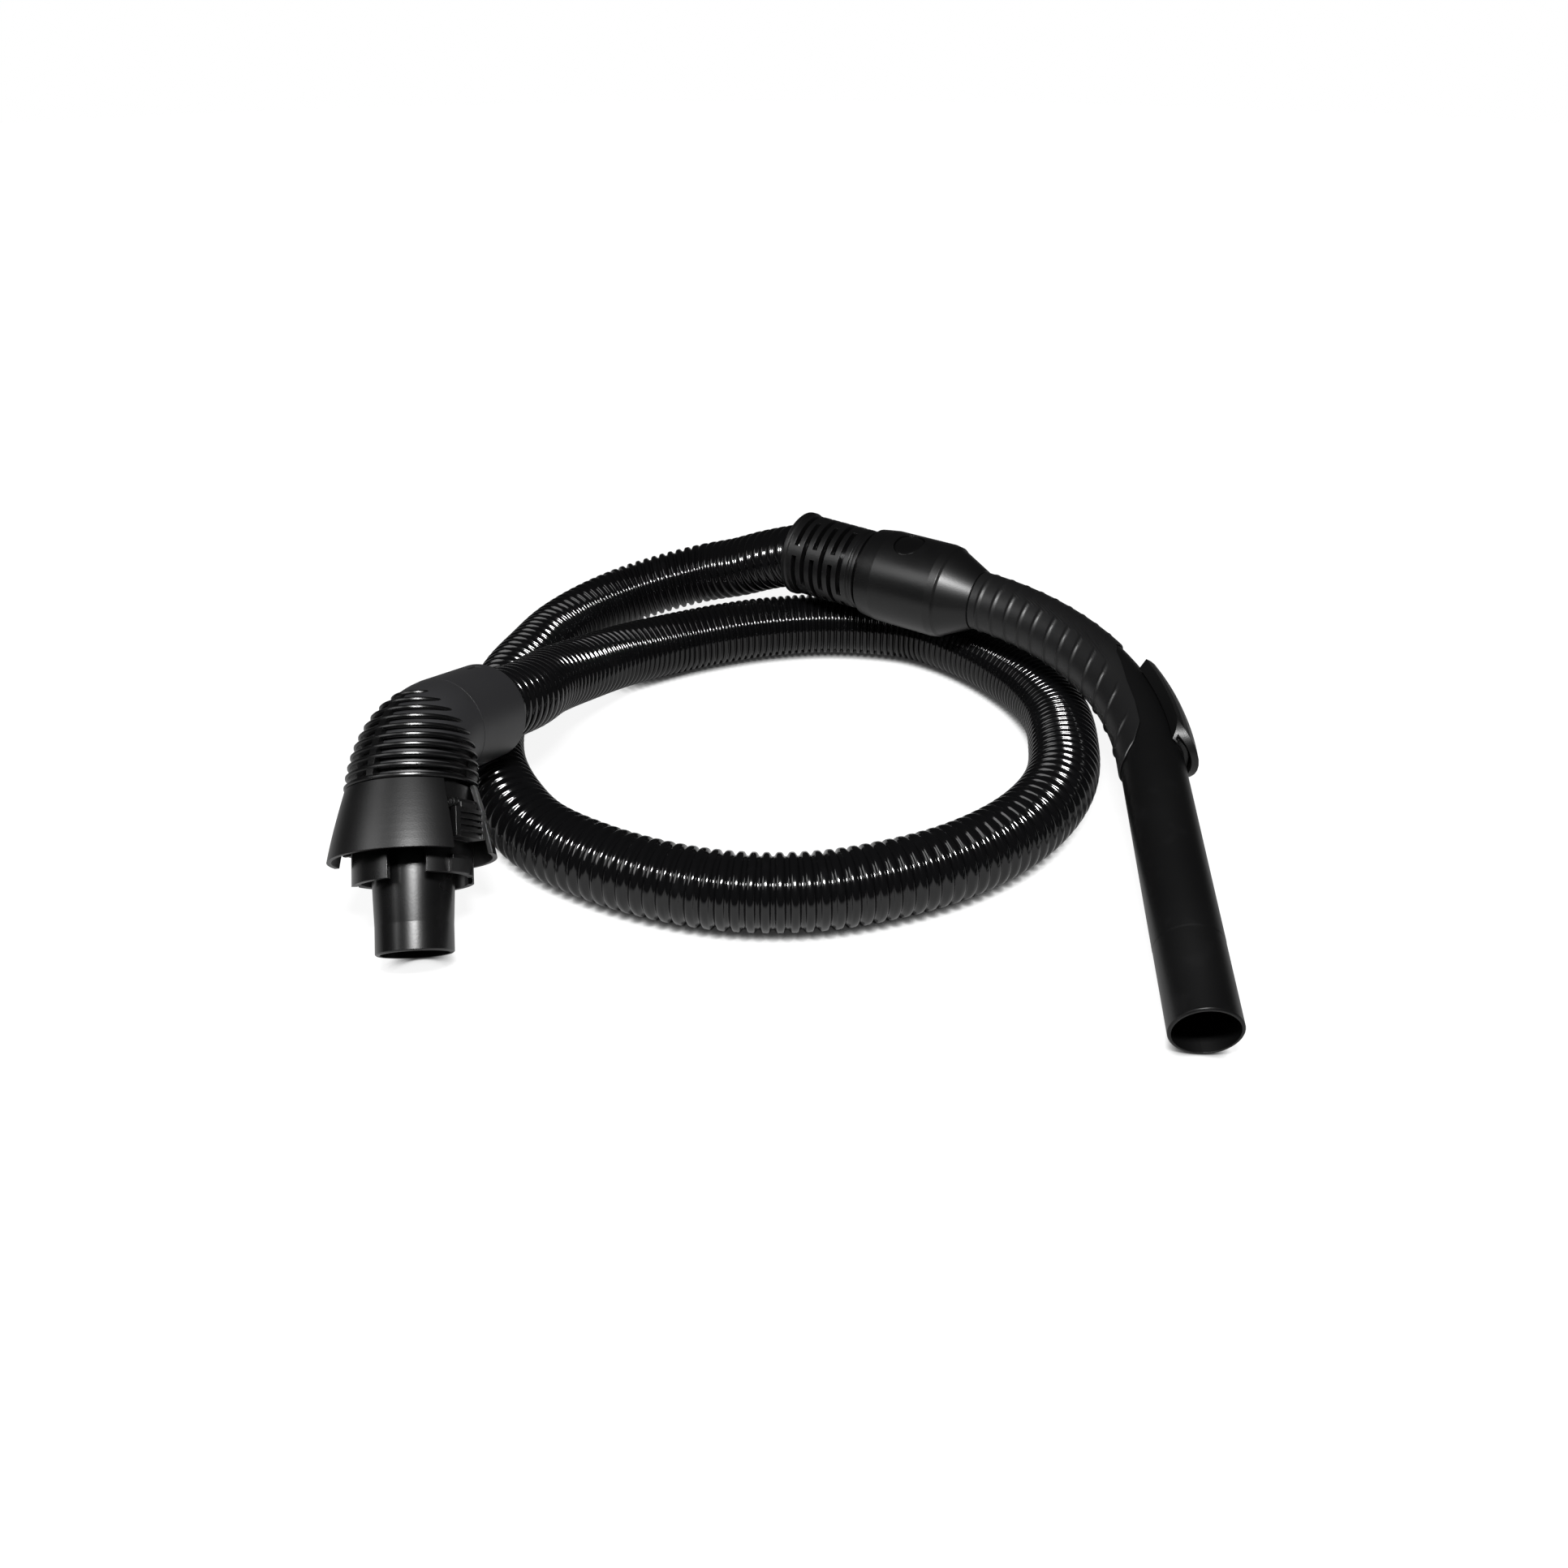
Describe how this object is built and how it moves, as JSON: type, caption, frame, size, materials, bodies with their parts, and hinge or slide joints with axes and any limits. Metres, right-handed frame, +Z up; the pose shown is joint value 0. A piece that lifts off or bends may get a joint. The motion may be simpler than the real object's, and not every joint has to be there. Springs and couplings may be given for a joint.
{
  "type": "vacuum cleaner hose",
  "caption": "Ribbed suction hose of a canister vacuum cleaner, laid in a loop, with a swivelling clip-in machine elbow and a bent handle that ends in a plain wand pipe.",
  "frame": {"origin": "on the floor under the middle of the box round the two rigid ends, without the hose", "axes": "+Z up from the floor; +X from the machine elbow's side to the handle's side; +Y away from both open ends, towards the back of the loop"},
  "size_m": [0.4211, 0.4498, 0.1044],
  "materials": {
    "gloss_black": "glossy ribbed blow-moulded plastic",
    "black_plastic": "satin moulded plastic",
    "soft_grip": "matt soft-touch overmould",
    "seal_rubber": "matt rubber",
    "spring_steel": "plain spring steel"
  },
  "bodies": {
    "hose_and_fixed_ends": {"hose": "gloss_black", "elbow_pipe": "black_plastic", "elbow_hood": "black_plastic", "hose_socket_inlet": "gloss_black", "socket_tab": "black_plastic", "slotted_cuff": "black_plastic", "hose_socket_handle": "gloss_black", "neck_seal": "seal_rubber"},
    "machine_coupling": {"inlet_pipe": "black_plastic", "latch_collar": "black_plastic", "leg_seal": "seal_rubber", "retaining_clip": "spring_steel", "front_skirt": "black_plastic", "rear_skirt": "black_plastic", "latch_pins": "spring_steel", "latch_spring_right": "spring_steel", "latch_spring_left": "spring_steel"},
    "lever_right": {"release_lever_right": "black_plastic"},
    "lever_left": {"release_lever_left": "black_plastic"},
    "handle": {"handle_housing": "black_plastic", "neck_clip": "spring_steel", "lock_spring": "spring_steel", "handle_pipe": "black_plastic", "pipe_pins": "black_plastic", "grip_cover": "soft_grip", "slider_seat": "black_plastic"},
    "button": {"lock_button": "black_plastic"},
    "slider": {"air_slider": "black_plastic"}
  },
  "joints": [
    {"name": "machine_swivel", "type": "hinge", "parent": "hose_and_fixed_ends", "child": "machine_coupling", "pos_m": [-0.17601, -0.09715, 0.06498], "axis": [0.0808, -0.7053, -0.7043], "continuous": true},
    {"name": "lever_right_press", "type": "hinge", "parent": "machine_coupling", "child": "lever_right", "pos_m": [-0.14872, -0.11223, 0.06901], "axis": [0.4517, 0.6558, -0.6049], "range_deg": [0, 6], "stiffness_Nm_per_rad": 1.2, "springref_deg": -1.72, "deforming": ["latch_spring_right"]},
    {"name": "lever_left_press", "type": "hinge", "parent": "machine_coupling", "child": "lever_left", "pos_m": [-0.20168, -0.09618, 0.04686], "axis": [-0.4517, -0.6558, 0.6049], "range_deg": [0, 6], "stiffness_Nm_per_rad": 1.2, "springref_deg": -1.72, "deforming": ["latch_spring_left"]},
    {"name": "handle_swivel", "type": "hinge", "parent": "hose_and_fixed_ends", "child": "handle", "pos_m": [0.05467, 0.1559, 0.06699], "axis": [0.829, -0.5592, -0.007], "range_deg": [-180, 0]},
    {"name": "button_press", "type": "slide", "parent": "handle", "child": "button", "axis": [0.1106, 0.1762, -0.9781], "range_m": [0, 0.0025], "stiffness_N_per_m": 1500, "springref_m": -0.001, "deforming": ["lock_spring"]},
    {"name": "slider_slide", "type": "hinge", "parent": "handle", "child": "slider", "pos_m": [0.01593, -0.0209, 0.03077], "axis": [-0.1106, -0.1762, 0.9781], "range_deg": [0, 3.33]}
  ]
}
